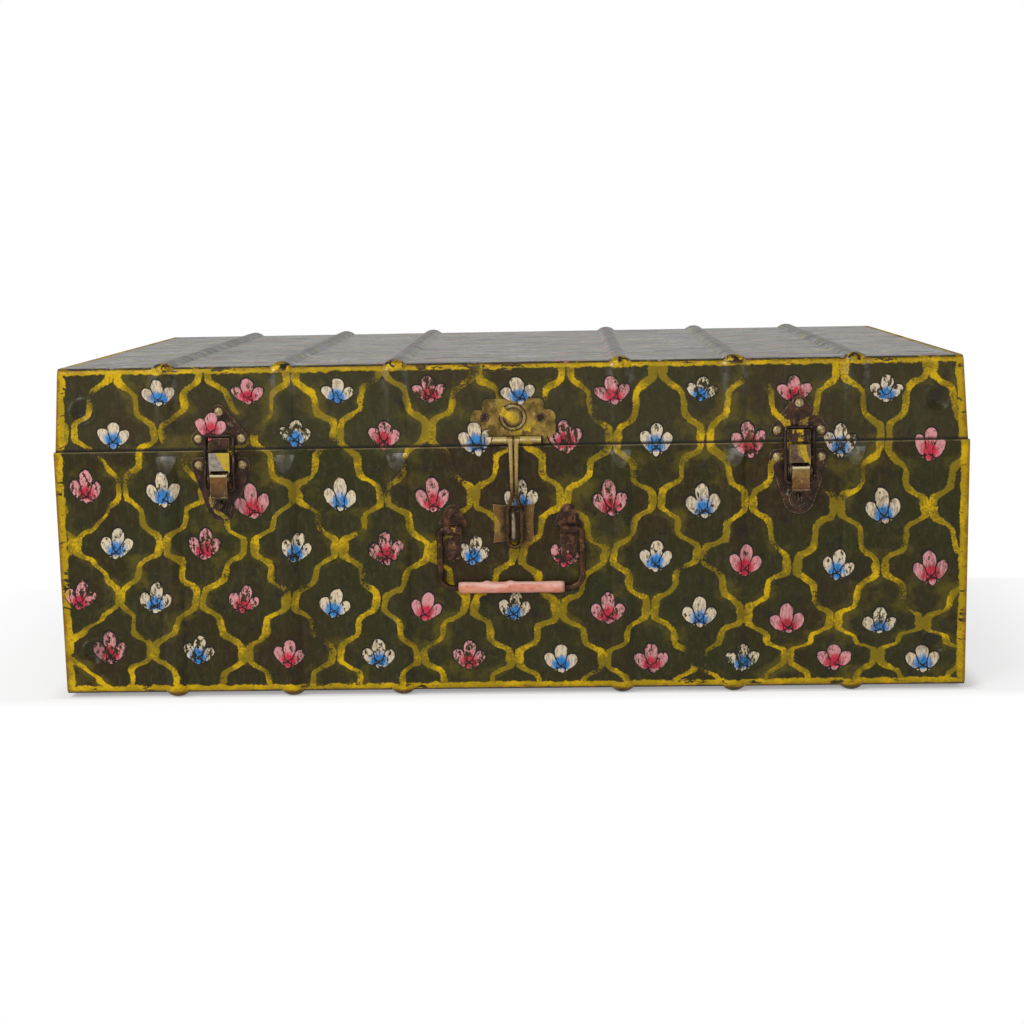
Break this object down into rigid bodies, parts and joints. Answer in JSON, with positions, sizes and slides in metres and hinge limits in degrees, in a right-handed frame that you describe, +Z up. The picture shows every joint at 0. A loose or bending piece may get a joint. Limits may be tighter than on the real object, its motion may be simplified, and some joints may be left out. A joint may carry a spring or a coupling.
{
  "type": "painted steel trunk",
  "caption": "Ribbed sheet steel trunk with a shallow hinged lid, toggle latches, a hasp with its staple, and a drop handle, painted with a lattice and small flowers.",
  "frame": {"origin": "under the middle of the whole trunk, at the level of the floor that its bottom ribs stand on", "axes": "+X along the length to the right as seen from the front, +Y from the latches to the hinges, +Z up"},
  "size_m": [0.662, 0.4214, 0.2477],
  "materials": {
    "case_paint": "dark olive ground with a hand-painted yellow lattice and small flowers, glossy varnish, worn",
    "rim_steel": "thin dark paint on steel, rubbed bright along the top edge",
    "latch_iron": "dark rusty brown steel, rubbed at the edges",
    "lever_steel": "worn steel with a brassy brown tarnish",
    "wire_steel": "drawn wire, brown tarnish",
    "rivet_metal": "dull pale yellow metal",
    "hasp_brass": "dull brass plate with traces of yellow paint",
    "staple_iron": "rusted thin plate and rod",
    "bail_iron": "brown rusted rod",
    "grip_sleeve": "faded salmon pink sleeve, grimy",
    "hinge_steel": "painted over with the case, bare at the knuckles"
  },
  "bodies": {
    "trunk_body": {"body_wrap": "case_paint", "body_end_left": "case_paint", "body_end_right": "case_paint", "rim_collar": "rim_steel", "latch_base_left": "latch_iron", "latch_base_right": "latch_iron", "latch_base_rivets": "rivet_metal", "lever_pin_left": "wire_steel", "lever_pin_right": "wire_steel", "staple_plate": "staple_iron", "staple": "staple_iron", "staple_rivets": "staple_iron", "handle_bracket_left": "bail_iron", "handle_bracket_right": "bail_iron", "handle_rivets": "bail_iron", "hinge_body_leaf_left": "hinge_steel", "hinge_body_leaf_right": "hinge_steel", "hinge_body_rivets": "rivet_metal", "hinge_pin_left": "wire_steel", "hinge_pin_right": "wire_steel"},
    "lid": {"lid_wrap": "case_paint", "lid_end_left": "case_paint", "lid_end_right": "case_paint", "keeper_left": "latch_iron", "keeper_right": "latch_iron", "keeper_rivets": "rivet_metal", "hasp_plate": "hasp_brass", "hasp_pin": "hasp_brass", "hasp_rivets": "staple_iron", "hinge_lid_leaf_left": "hinge_steel", "hinge_lid_leaf_right": "hinge_steel", "hinge_lid_rivets": "rivet_metal"},
    "lever_left": {"latch_lever_left": "lever_steel"},
    "lever_right": {"latch_lever_right": "lever_steel"},
    "loop_left": {"latch_loop_left": "wire_steel"},
    "loop_right": {"latch_loop_right": "wire_steel"},
    "hasp": {"hasp_arm": "hasp_brass"},
    "handle": {"handle_bail": "bail_iron", "handle_grip": "grip_sleeve"}
  },
  "joints": [
    {"name": "lid_hinge", "type": "hinge", "parent": "trunk_body", "child": "lid", "pos_m": [0, 0.20795, 0.1838], "axis": [-1, 0, 0], "range_deg": [0, 105]},
    {"name": "latch_lever_left", "type": "hinge", "parent": "trunk_body", "child": "lever_left", "pos_m": [-0.20899, -0.20385, 0.1645], "axis": [-1, 0, 0], "range_deg": [0, 110]},
    {"name": "latch_loop_left", "type": "hinge", "parent": "lever_left", "child": "loop_left", "pos_m": [-0.20899, -0.20345, 0.1555], "axis": [1, 0, 0], "range_deg": [0, 140]},
    {"name": "latch_lever_right", "type": "hinge", "parent": "trunk_body", "child": "lever_right", "pos_m": [0.20899, -0.20385, 0.1645], "axis": [-1, 0, 0], "range_deg": [0, 110]},
    {"name": "latch_loop_right", "type": "hinge", "parent": "lever_right", "child": "loop_right", "pos_m": [0.20899, -0.20345, 0.1555], "axis": [1, 0, 0], "range_deg": [0, 140]},
    {"name": "hasp_hinge", "type": "hinge", "parent": "lid", "child": "hasp", "pos_m": [0.0038, -0.19745, 0.1883], "axis": [-1, 0, 0], "range_deg": [0, 160]},
    {"name": "handle_swing", "type": "hinge", "parent": "trunk_body", "child": "handle", "pos_m": [0.00075, -0.19805, 0.1235], "axis": [-1, 0, 0], "range_deg": [0, 160]}
  ],
  "couplings": [
    {"joint": "latch_loop_left", "follows": "latch_lever_left", "ratio": 1.25},
    {"joint": "latch_loop_right", "follows": "latch_lever_right", "ratio": 1.25}
  ]
}
